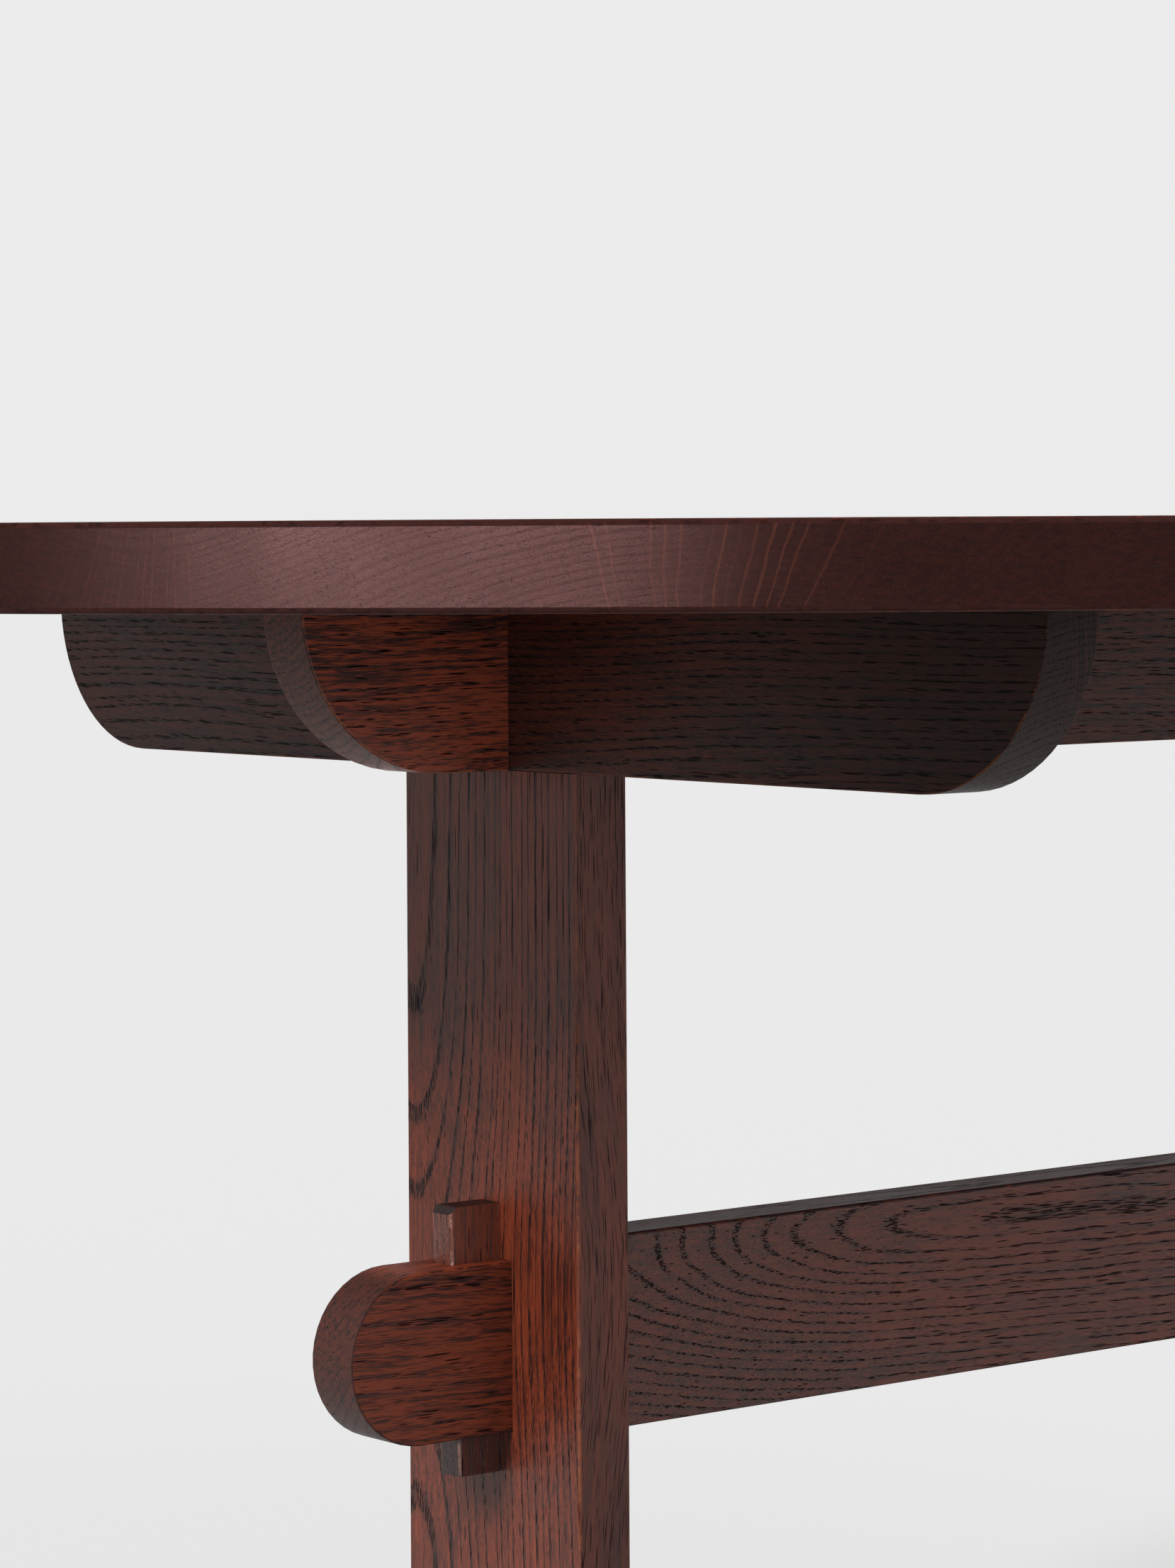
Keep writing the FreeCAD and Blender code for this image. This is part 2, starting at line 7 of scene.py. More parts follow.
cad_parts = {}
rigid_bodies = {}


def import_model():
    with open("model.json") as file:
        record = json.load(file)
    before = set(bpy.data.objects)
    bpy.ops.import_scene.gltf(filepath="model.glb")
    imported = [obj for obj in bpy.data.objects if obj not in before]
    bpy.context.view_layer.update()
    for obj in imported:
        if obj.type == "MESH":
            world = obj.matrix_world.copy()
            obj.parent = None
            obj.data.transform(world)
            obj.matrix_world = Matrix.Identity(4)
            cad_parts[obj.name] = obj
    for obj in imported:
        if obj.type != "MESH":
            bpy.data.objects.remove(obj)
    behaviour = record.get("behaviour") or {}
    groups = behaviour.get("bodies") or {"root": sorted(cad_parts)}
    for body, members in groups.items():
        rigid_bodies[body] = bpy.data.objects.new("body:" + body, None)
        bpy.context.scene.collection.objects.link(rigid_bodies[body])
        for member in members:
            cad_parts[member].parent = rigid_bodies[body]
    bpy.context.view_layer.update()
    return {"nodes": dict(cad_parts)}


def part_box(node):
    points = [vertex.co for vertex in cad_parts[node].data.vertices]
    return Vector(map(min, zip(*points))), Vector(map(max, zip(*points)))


for item in list(bpy.data.objects):
    bpy.data.objects.remove(item)
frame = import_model()

MM = 0.001

# ---------------------------------------------------------------- camera

CAMERA_PLACE = (-1.8963, -1.6520, 0.7346)
CAMERA_YAW = math.radians(51.37)  # from +X towards +Y
CAMERA_ROLL = math.radians(-0.334)
FOCAL_PIXELS = 6536.5
IMAGE_HEIGHT = 2212
HORIZON_ROW = 752.3
SENSOR = 36.0
VIEW_REACH = 2000  # metres, well past the edge of the floor


def make_camera():
    """A level camera whose frame is shifted down from the horizon."""
    data = bpy.data.cameras.new("camera")
    data.sensor_fit = "VERTICAL"
    data.sensor_height = SENSOR
    data.lens = FOCAL_PIXELS * SENSOR / IMAGE_HEIGHT
    data.shift_y = (HORIZON_ROW - IMAGE_HEIGHT / 2) / IMAGE_HEIGHT
    data.clip_end = VIEW_REACH
    camera = bpy.data.objects.new("camera", data)
    forward = Vector((math.cos(CAMERA_YAW), math.sin(CAMERA_YAW), 0))
    level_right = Vector((math.sin(CAMERA_YAW), -math.cos(CAMERA_YAW), 0))
    level_up = Vector((0, 0, 1))
    right = math.cos(CAMERA_ROLL) * level_right + math.sin(CAMERA_ROLL) * level_up
    up = math.cos(CAMERA_ROLL) * level_up - math.sin(CAMERA_ROLL) * level_right
    turn = Matrix((right, up, -forward)).transposed().to_4x4()
    camera.matrix_world = Matrix.Translation(CAMERA_PLACE) @ turn
    bpy.context.scene.collection.objects.link(camera)
    bpy.context.scene.camera = camera


# ---------------------------------------------------------------- shader helpers


class Graph:
    """A shader node tree, built by calls that return sockets."""

    def __init__(self, tree):
        self.tree = tree

    def add(self, kind, inputs=None, **settings):
        """A node, with its settings made and its inputs fed."""
        node = self.tree.nodes.new(kind)
        for name, value in settings.items():
            setattr(node, name, value)
        for key, value in (inputs or {}).items():
            self.feed(node.inputs[key], value)
        return node

    def feed(self, socket, value):
        """Link a socket to another, or give it a plain value."""
        if isinstance(value, bpy.types.NodeSocket):
            self.tree.links.new(value, socket)
        else:
            socket.default_value = value

    def apply(self, node, terms, output=0):
        """The output of a node whose first inputs are these terms."""
        for socket, term in zip(node.inputs, terms):
            self.feed(socket, term)
        return node.outputs[output]

    def math(self, operation, *terms):
        return self.apply(self.add("ShaderNodeMath", operation=operation), terms)

    def chain(self, operation, first, others):
        """An operation on two numbers, its result and a third, and so on."""
        for other in others:
            first = self.math(operation, first, other)
        return first

    def plus(self, first, *others):
        return self.chain("ADD", first, others)

    def minus(self, first, *others):
        return self.chain("SUBTRACT", first, others)

    def times(self, first, *others):
        return self.chain("MULTIPLY", first, others)

    def over(self, number, divisor):
        return self.math("DIVIDE", number, divisor)

    def size(self, number):
        """A number without its sign."""
        return self.math("ABSOLUTE", number)

    def vector(self, operation, *terms, output="Vector"):
        return self.apply(self.add("ShaderNodeVectorMath", operation=operation), terms, output)

    def scale(self, vector, factor):
        inputs = {0: vector, "Scale": factor}
        return self.add("ShaderNodeVectorMath", inputs, operation="SCALE").outputs["Vector"]

    def in_patches(self, place, patch):
        """A place counted in patches, whose three sizes are given."""
        return self.vector("MULTIPLY", place, tuple(1 / size for size in patch))

    def join(self, x, y, z):
        return self.add("ShaderNodeCombineXYZ", {0: x, 1: y, 2: z}).outputs[0]

    def split(self, vector):
        return self.add("ShaderNodeSeparateXYZ", {0: vector}).outputs

    def ease(self, value, low, high, at_low=0.0, at_high=1.0):
        """A smooth step from at_low to at_high while value goes from low to high."""
        inputs = {"Value": value, "From Min": low, "From Max": high}
        inputs.update({"To Min": at_low, "To Max": at_high})
        node = self.add("ShaderNodeMapRange", inputs, interpolation_type="SMOOTHSTEP")
        return node.outputs["Result"]

    def noise(self, vector, detail=2.0, roughness=0.5, output="Fac"):
        inputs = {"Vector": vector, "Scale": 1.0, "Detail": detail, "Roughness": roughness}
        return self.add("ShaderNodeTexNoise", inputs).outputs[output]

    def cells(self, vector):
        """Distance to the nearest cell's middle, and a random number for each cell."""
        node = self.add("ShaderNodeTexVoronoi", {"Vector": vector, "Scale": 1.0})
        return node.outputs["Distance"], self.split(node.outputs["Color"])[0]

    def mix(self, factor, first, second):
        """A colour between two others. A factor below 0 or above 1 counts as 0 or 1."""
        node = self.add("ShaderNodeMix", {0: factor, 6: first, 7: second}, data_type="RGBA")
        return node.outputs[2]


def new_material(name):
    material = bpy.data.materials.new(name)
    material.use_nodes = True
    material.node_tree.nodes.clear()
    return material, Graph(material.node_tree)


# ---------------------------------------------------------------- the oak's pattern

DARK_COLOUR = (0.020, 0.0052, 0.0040, 1)
LIGHT_COLOUR = (0.165, 0.0295, 0.0110, 1)
PORE_COLOUR = (0.006, 0.0036, 0.0034, 1)
RAY_COLOUR = (0.170, 0.044, 0.024, 1)
ARRIS_COLOUR = (0.190, 0.052, 0.014, 1)
SCUFF_COLOUR = (0.210, 0.088, 0.060, 1)
# a paler rub with a painted highlight, on the wedges' arrises
RUBBED_AND_HIGHLIT_COLOUR = (0.300, 0.150, 0.110, 1)

# patches of noise, in millimetres: twice across the grain, then along it
SLOW_DRIFT = (130, 130, 420)
QUICK_DRIFT = (16, 16, 50)
TONE_PATCH = (60, 60, 210)
FINE_FIBRE = (0.45, 0.45, 12.0)
COARSE_FIBRE = (2.4, 2.4, 60.0)
SMALL_VESSEL = (0.36, 0.36, 7.0)

NOISE_MIDDLE = 0.5
SEED_STRIDE = 37.0  # how far apart in the noise two seeds lie, in millimetres
SLOW_REACH = 34.0  # the span of the slow drift at a wander of 1, in millimetres
QUICK_REACH = 7.0  # the span of the quick drift at a ripple of 1

# rings: the band of pores in millimetres from a ring's start, the rest in shares of the ring
UNEVEN_PACE = 0.45  # how quickly the rings' width changes from one to the next
BAND_START = (0.0, 0.2)
BAND_END = (0.7, 1.35)
LATE_WOOD = (0.2, 0.95)
RING_LINE = (0.90, 1.0)

# vessels: their rims in shares of a cell, and how many cells are open
LARGE_RIM = (0.40, 0.55)
SMALL_RIM = (0.30, 0.50)
BAND_SHARE = 0.95
SMALL_SHARE = 0.14
SMALL_DEPTH = 0.55
USUAL_VESSEL = 14.0
USUAL_GIRTH = 0.66
STRAY_SHARE = 0.02  # large vessels that are open outside the bands

# rays: sheets around the pith
SHEETS = 42.0  # in a radian
WAVER = 1.1  # how far a sheet strays from its place, in sheets
WAVER_TURNS = 9.0  # how often it strays in a radian
WAVER_OUTWARDS = 40.0  # and over how many millimetres outwards and along the grain
WAVER_ALONG = 400.0
SHEET_STRIDE = 7.3  # how far apart in the noise two sheets lie
SHEET_MIDDLE = 0.5
SHEET_RIM = (0.04, 0.13)  # from a sheet's middle, in shares of the way to the next
SHEET_CHANCE = (0.38, 0.58)  # noise at which a sheet starts to show, and shows fully
SLANT = (0.12, 0.30)  # sheets that run aslant of the piece fade to SLANT_SHARE
SLANT_SHARE = 0.12
RAYS_ELSEWHERE = 0.02  # the rays' share where the face isn't end grain

# lightness, where 0 is DARK_COLOUR and 1 is LIGHT_COLOUR
USUAL_LIGHT = 0.56
LATE_LIGHT = 0.16
RING_LINE_DARK = 0.14
STREAK_LIGHT = 0.44
FIBRE_SPAN = (0.37, 0.63)
FINE_PART = 0.6  # the fine fibres' part in the streaks
TONE_SPAN = (0.30, 0.70)
PORE_PART = 0.95  # how far an open pore covers the wood's colour

VECTOR_INPUTS = ("Place", "Pith", "Lean", "Swell", "Dip")
NUMBER_INPUTS = (
    *("Shelf", "Seed", "Ring", "Wander", "Ripple", "Phase", "Uneven", "Shade", "Banding"),
    *("Blotches", "Pores", "Stray", "Rays", "Streaks", "Vessel", "Girth", "Endness"),
)
PATTERN_OUTPUTS = ("Color", "Pore", "Fibre", "Tone", "Band")


def add_sockets(tree):
    """The pattern's inputs and outputs."""
    for name in VECTOR_INPUTS + NUMBER_INPUTS:
        kind = "NodeSocketVector" if name in VECTOR_INPUTS else "NodeSocketFloat"
        tree.interface.new_socket(name, in_out="INPUT", socket_type=kind)
    for name in PATTERN_OUTPUTS:
        kind = "NodeSocketColor" if name == "Color" else "NodeSocketFloat"
        tree.interface.new_socket(name, in_out="OUTPUT", socket_type=kind)


def bell(g, along, shape, shelf):
    """A push of the rings at one place: its reach, its middle along the grain and its half width."""
    reach, middle, width = g.split(shape)
    offset = g.math("MAXIMUM", g.over(g.minus(along, middle), width), shelf)
    return g.times(reach, g.math("EXPONENT", g.times(offset, offset, -1.0)))


def drift(g, seeded, patch, reach):
    """Noise that moves the rings, by half of reach at most in each direction."""
    noise = g.noise(g.in_patches(seeded, patch), detail=1.0, output="Color")
    return g.scale(g.vector("SUBTRACT", noise, (NOISE_MIDDLE,) * 3), reach)


def place_from_pith(g, given, along, seeded):
    """A place counted from the pith, which leans, is pushed aside at two places and drifts."""
    lean = g.scale(given["Lean"], along)
    pushes = [bell(g, along, given[shape], given["Shelf"]) for shape in ("Swell", "Dip")]
    place = g.vector("SUBTRACT", g.vector("SUBTRACT", given["Place"], given["Pith"]), lean)
    place = g.vector("ADD", place, g.join(g.plus(*pushes), 0.0, 0.0))
    for patch, reach in (
        (SLOW_DRIFT, g.times(given["Wander"], SLOW_REACH)),
        (QUICK_DRIFT, g.times(given["Ripple"], QUICK_REACH)),
    ):
        place = g.vector("ADD", place, drift(g, seeded, patch, reach))
    return g.split(place)


def rings(g, given, radius, seed):
    """Rings of uneven width: how far through its ring a place is, and whether it lies in the band
    of large pores that a ring starts with."""
    turn = g.over(radius, given["Ring"])
    uneven = g.noise(g.join(g.times(turn, UNEVEN_PACE), seed, 0.0), detail=1.0)
    uneven = g.times(g.minus(uneven, NOISE_MIDDLE), given["Uneven"])
    step = g.math("FRACT", g.plus(turn, given["Phase"], uneven))
    depth = g.times(step, given["Ring"])
    return step, g.times(g.ease(depth, *BAND_START), g.ease(depth, *BAND_END, 1.0, 0.0))


def vessels(g, given, cell_place, band):
    """Open pores: long thin cells that run with the grain. Large ones lie mostly in the bands, and
    small ones anywhere."""
    slender = g.over(1.0, given["Girth"])
    cells = g.join(slender, slender, g.over(1.0, given["Vessel"]))
    near, chance = g.cells(g.vector("MULTIPLY", cell_place, cells))
    wanted = g.math("MAXIMUM", g.times(band, BAND_SHARE, given["Pores"]), given["Stray"])
    large = g.times(g.ease(near, *LARGE_RIM, 1.0, 0.0), g.math("LESS_THAN", chance, wanted))
    near, chance = g.cells(g.in_patches(cell_place, SMALL_VESSEL))
    small = g.ease(near, *SMALL_RIM, SMALL_DEPTH, 0.0)
    small = g.times(small, g.math("LESS_THAN", chance, SMALL_SHARE))
    return g.math("MAXIMUM", large, small)


def fibres(g, cell_place):
    """Streaks along the grain, fine and coarse."""
    fine = g.noise(g.in_patches(cell_place, FINE_FIBRE))
    coarse = g.noise(g.in_patches(cell_place, COARSE_FIBRE))
    return g.plus(g.times(fine, FINE_PART), g.times(coarse, 1 - FINE_PART))


def ray_sheets(g, from_pith, radius, seeded_along, seed):
    """Rays: thin sheets that stand along the grain and point to the pith, some of them too thin to
    see."""
    angle = g.math("ARCTAN2", from_pith[1], from_pith[0])
    turns, outwards = g.times(angle, WAVER_TURNS), g.over(radius, WAVER_OUTWARDS)
    waver = g.noise(g.join(turns, outwards, g.over(seeded_along, WAVER_ALONG)), detail=1.0)
    sheet = g.math("MULTIPLY_ADD", angle, SHEETS, g.times(waver, WAVER))
    from_middle = g.size(g.minus(g.math("FRACT", sheet), SHEET_MIDDLE))
    number = g.times(g.math("FLOOR", sheet), SHEET_STRIDE)
    chance = g.noise(g.join(number, seed, 0.0), detail=0.0)
    rays = g.times(g.ease(from_middle, *SHEET_RIM, 1.0, 0.0), g.ease(chance, *SHEET_CHANCE))
    aslant = g.over(g.size(from_pith[0]), radius)
    return g.times(rays, g.ease(aslant, *SLANT, 1.0, SLANT_SHARE))


def lightness(g, given, step, band, fibre, tone):
    """How light the wood takes the stain."""
    light = g.minus(USUAL_LIGHT, g.times(band, given["Banding"]))
    light = g.plus(light, g.times(g.ease(step, *LATE_WOOD), LATE_LIGHT))
    light = g.minus(light, g.times(g.ease(step, *RING_LINE), RING_LINE_DARK))
    streaks = g.times(g.ease(fibre, *FIBRE_SPAN, -STREAK_LIGHT, STREAK_LIGHT), given["Streaks"])
    blotches = g.times(g.ease(tone, *TONE_SPAN, -1.0, 1.0), given["Blotches"])
    return g.plus(light, streaks, blotches)


def oak_pattern():
    """A node group: stained ring-porous oak as a solid, in millimetres, with the grain along Z."""
    tree = bpy.data.node_groups.new("oak_pattern", "ShaderNodeTree")
    add_sockets(tree)
    g = Graph(tree)
    given = g.add("NodeGroupInput").outputs
    seed = g.times(given["Seed"], SEED_STRIDE)
    along = g.split(given["Place"])[2]
    seeded = g.vector("ADD", given["Place"], g.join(seed, seed, seed))

    from_pith = place_from_pith(g, given, along, seeded)
    radius = g.vector("LENGTH", g.join(from_pith[0], from_pith[1], 0.0), output="Value")
    seeded_along = g.plus(along, seed)
    cell_place = g.join(from_pith[0], from_pith[1], seeded_along)

    step, band = rings(g, given, radius, seed)
    pore = vessels(g, given, cell_place, band)
    fibre = fibres(g, cell_place)
    rays = ray_sheets(g, from_pith, radius, seeded_along, seed)
    tone = g.noise(g.in_patches(seeded, TONE_PATCH))

    light = lightness(g, given, step, band, fibre, tone)
    colour = g.scale(g.mix(light, DARK_COLOUR, LIGHT_COLOUR), given["Shade"])
    ray_part = g.math("MULTIPLY_ADD", given["Endness"], given["Rays"], RAYS_ELSEWHERE)
    colour = g.mix(g.times(rays, ray_part), colour, RAY_COLOUR)
    colour = g.mix(g.times(pore, PORE_PART), colour, PORE_COLOUR)
    g.add("NodeGroupOutput", dict(zip(PATTERN_OUTPUTS, (colour, pore, fibre, tone, band))))
    return tree


# ---------------------------------------------------------------- the oak of one piece


class Wood:
    """How one piece of oak is cut and finished, in millimetres. pith is the tree's middle, counted
    from the piece's middle across the grain, and seed picks the noise."""

    # the tree
    lean = (0, 0)  # how far the pith moves across the grain for each millimetre along it
    swell = dip = (0, 0, 1)  # pushes of the rings: reach, middle along the grain, half width
    shelf = -9.0  # at 0.0 a push keeps its full reach on one side of its middle
    ring = 4.4  # width of a ring
    wander = 1.0  # slow drift of the rings
    ripple = 0.25  # quick drift of the rings
    phase = 0.0  # how far the rings are shifted, in rings
    uneven = 2.2  # how much the rings differ in width

    # the stain on the long faces
    shade = 1.0
    banding = 0.2  # how dark the bands of pores are
    blotches = 0.2
    streaks = 1.0
    pores = 1.0  # share of open vessels in the bands
    vessel = USUAL_VESSEL  # length of a vessel
    relief = 0.55  # how much of their full relief the pores and fibres have

    # the narrow faces, beside the wide ones
    # painted shade: how light the narrow faces are beside the wide ones
    painted_side_shade = 1.0
    side_rings = 1.0
    side_streaks = 1.0
    side_pores = STRAY_SHARE  # share of open vessels outside the bands
    side_vessel = USUAL_VESSEL
    side_girth = USUAL_GIRTH
    # painted reflection: how strongly the narrow faces reflect
    painted_side_sheen = 1.0

    # the end grain
    rays = 0.25
    end_soak = 0.4  # how much darker it is
    # painted reflection: how strongly the end grain reflects
    painted_end_sheen = 1.0
    end_dull = 0.0  # how much rougher it is

    # rubbed arrises, with a painted dark shade there on some pieces and a painted highlight on the
    # wedges, and the rough skin of sawn faces
    wear_and_painted_light = 1.0
    arris_wear_and_painted_light = ARRIS_COLOUR
    scuff = 0.0

    # the polish
    roughness = 0.42
    wide_dull = 0.0  # how much rougher the wide faces are
    band_dull = 0.04  # how much rougher the bands of pores are
    specular = 0.3
    tint = None  # a colour that all its reflections take

    # changes along the grain: painted light and shade on the shade, a painted reflection on the wide
    # faces' gloss, and changes of the open pores and of the streaks: a place, a near and a far
    # distance from it, and the share at each distance
    fade = sheen = pore_fade = streak_fade = None

    def __init__(self, grain, thickness, pith, seed, **changes):
        self.grain = "XYZ".index(grain)
        self.thickness = "XYZ".index(thickness)
        self.pith = pith
        self.seed = seed
        for name, value in changes.items():
            if not hasattr(Wood, name):
                raise TypeError(f"a wood has no {name}")
            setattr(self, name, value)


# faces, by spans of the normal
END_GRAIN = (0.05, 0.45)  # its part along the grain
WIDE_FACE = (0.5, 0.9)  # its part along the thickness
DULL_FACE = (0.04, 0.3)  # the same, where wide_dull counts
ARRIS = (0.03, 0.2)  # how far it lies between the thickness and another axis
SAWN_FACE = (0.8, 0.95)  # the square of its part along the third axis

WEAR_PATCH = (9, 9, 9)  # millimetres
WEAR_SPAN = (0.42, 0.62)
WEAR_NOISE = (4.0, 0.65)  # detail and roughness
GRIT_COUNT = (1.1, 1.1, 0.8)  # grains to a millimetre
GRIT_SPAN = (0.46, 0.66)
GRIT_NOISE = (3.0, 0.7)

BUMP_HEIGHT = 0.25 * MM
FIBRE_HEIGHT = 0.35  # beside a pore's depth of 1
POLISH_PLAY = 0.04  # how far the roughness goes up and down with the tone
ARRIS_DULL = 0.2
PORE_DULL = 0.2
# painted shade: open pores reflect nothing
PAINTED_PORE_SHADE = (0, 0, 0, 1)


class Surface:
    """Where a point of a piece lies in millimetres, and which way it faces, as shader values."""

    def __init__(self, g, wood):
        given = g.add("ShaderNodeTexCoord").outputs
        normal = g.split(given["Normal"])
        self.g = g
        self.place = g.scale(given["Object"], 1 / MM)
        self.parts = g.split(self.place)
        self.along = self.parts[wood.grain]
        self.endness = g.size(normal[wood.grain])
        self.facing = g.size(normal[wood.thickness])
        self.squared = g.times(self.facing, self.facing)
        self.rounded = g.times(self.squared, g.minus(1.0, self.squared))

    def by_end(self, elsewhere, end):
        """One value on end grain and another elsewhere."""
        return self.g.ease(self.endness, *END_GRAIN, elsewhere, end)

    def by_face(self, narrow, wide):
        """One value on the piece's narrow faces and another on its wide ones."""
        return self.g.ease(self.facing, *WIDE_FACE, narrow, wide)

    def along_grain(self, change):
        """A share that changes with the distance from a place along the grain."""
        if change is None:
            return 1.0
        place, *span = change
        return self.g.ease(self.g.size(self.g.minus(self.along, place)), *span)


# what the pattern takes from a wood as it is
UNCHANGED = (
    *("Swell", "Dip", "Shelf", "Seed", "Ring", "Wander", "Ripple", "Phase", "Uneven"),
    *("Blotches", "Rays"),
)


def pattern_inputs(node, wood, g, surface):
    """What the pattern is given for one piece."""
    low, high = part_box(node)
    middle = (low + high) / 2 / MM
    across = [axis for axis in range(3) if axis != wood.grain]
    pith = [middle[axis] + offset for axis, offset in zip(across, wood.pith)]
    pores = surface.by_end(wood.pores, wood.pores * (1 - wood.end_soak))
    ringed = surface.by_face(wood.side_rings, 1.0)
    # end grain soaks up more stain; painted light and shade change it along the grain and on the
    # narrow faces
    shade = surface.by_end(wood.shade, wood.shade * (1 - wood.end_soak))
    shade = g.times(shade, surface.along_grain(wood.fade), surface.by_face(wood.painted_side_shade, 1.0))
    streaks = surface.by_face(wood.streaks * wood.side_streaks, wood.streaks)
    return {
        **{name: getattr(wood, name.lower()) for name in UNCHANGED},
        "Place": g.join(*(surface.parts[axis] for axis in across), surface.along),
        "Pith": (*pith, 0),
        "Lean": (*wood.lean, 0),
        "Shade": shade,
        "Banding": g.times(ringed, wood.banding),
        "Pores": g.times(ringed, pores, surface.along_grain(wood.pore_fade)),
        "Stray": surface.by_face(wood.side_pores, STRAY_SHARE),
        "Streaks": g.times(streaks, surface.along_grain(wood.streak_fade)),
        "Vessel": surface.by_face(wood.side_vessel, wood.vessel),
        "Girth": surface.by_face(wood.side_girth, USUAL_GIRTH),
        "Endness": surface.endness,
    }


def rubbed_and_painted_colour(wood, g, surface, colour):
    """The wood's colour, rubbed thin on the arrises in broken stretches, with a painted dark shade
    there on the top and the stretcher, and a painted highlight on the wedges. Sawn faces that are
    neither end grain nor a wide face keep a rough, paler skin."""
    rubbed_and_painted = g.noise(g.in_patches(surface.place, WEAR_PATCH), *WEAR_NOISE)
    rubbed_and_painted = g.times(g.ease(surface.rounded, *ARRIS), g.ease(rubbed_and_painted, *WEAR_SPAN, 0.0, wood.wear_and_painted_light))
    colour = g.mix(rubbed_and_painted, colour, wood.arris_wear_and_painted_light)
    ends = g.times(surface.endness, surface.endness)
    sawn = g.ease(g.minus(1.0, g.plus(surface.squared, ends)), *SAWN_FACE)
    grit = g.noise(g.vector("MULTIPLY", surface.place, GRIT_COUNT), *GRIT_NOISE)
    return g.mix(g.times(sawn, g.ease(grit, *GRIT_SPAN, 0.0, wood.scuff)), colour, SCUFF_COLOUR)


def polish_roughness(wood, g, surface, made):
    """How rough the polish is: by its tone, its face and its pores."""
    return g.plus(
        g.ease(made["Tone"], *TONE_SPAN, wood.roughness - POLISH_PLAY, wood.roughness + POLISH_PLAY),
        g.ease(surface.facing, *DULL_FACE, 0.0, wood.wide_dull),
        surface.by_end(0.0, wood.end_dull),
        g.times(made["Band"], wood.band_dull),
        g.ease(surface.rounded, *ARRIS, 0.0, ARRIS_DULL),
        g.times(made["Pore"], PORE_DULL),
    )


def polish_shine(wood, g, surface, made):
    """What colour the polish reflects, with painted reflections by face and along the grain. Open
    pores reflect nothing, a painted shade in their hollows, but a tinted polish is thick enough to
    fill them."""
    if wood.tint:
        return (*wood.tint, 1)
    wide = surface.by_face(0.0, 1.0)
    # painted reflection on the narrow faces and the end grain
    narrow = g.times(surface.by_end(1.0, wood.painted_end_sheen), wood.painted_side_sheen, g.minus(1.0, wide))
    # painted reflection: the wide faces' gloss changes along the grain
    gloss = g.math("MULTIPLY_ADD", wide, surface.along_grain(wood.sheen), narrow)
    return g.mix(made["Pore"], g.join(gloss, gloss, gloss), PAINTED_PORE_SHADE)


def oak(node, wood):
    """The material of one piece of oak."""
    material, g = new_material(f"oak_{node}")
    surface = Surface(g, wood)
    pattern = g.add("ShaderNodeGroup", pattern_inputs(node, wood, g, surface), node_tree=OAK)
    made = pattern.outputs
    height = g.minus(g.times(made["Fibre"], FIBRE_HEIGHT), made["Pore"])
    bump = {"Strength": wood.relief, "Distance": BUMP_HEIGHT, "Height": height}
    finish = {
        "Base Color": rubbed_and_painted_colour(wood, g, surface, made["Color"]),
        "Roughness": polish_roughness(wood, g, surface, made),
        "Specular IOR Level": wood.specular,
        "Specular Tint": polish_shine(wood, g, surface, made),
        "Normal": g.add("ShaderNodeBump", bump).outputs["Normal"],
    }
    shader = g.add("ShaderNodeBsdfPrincipled", finish)
    g.add("ShaderNodeOutputMaterial", {"Surface": shader.outputs[0]})
    return material


OAK = oak_pattern()

# ---------------------------------------------------------------- the pieces' woods

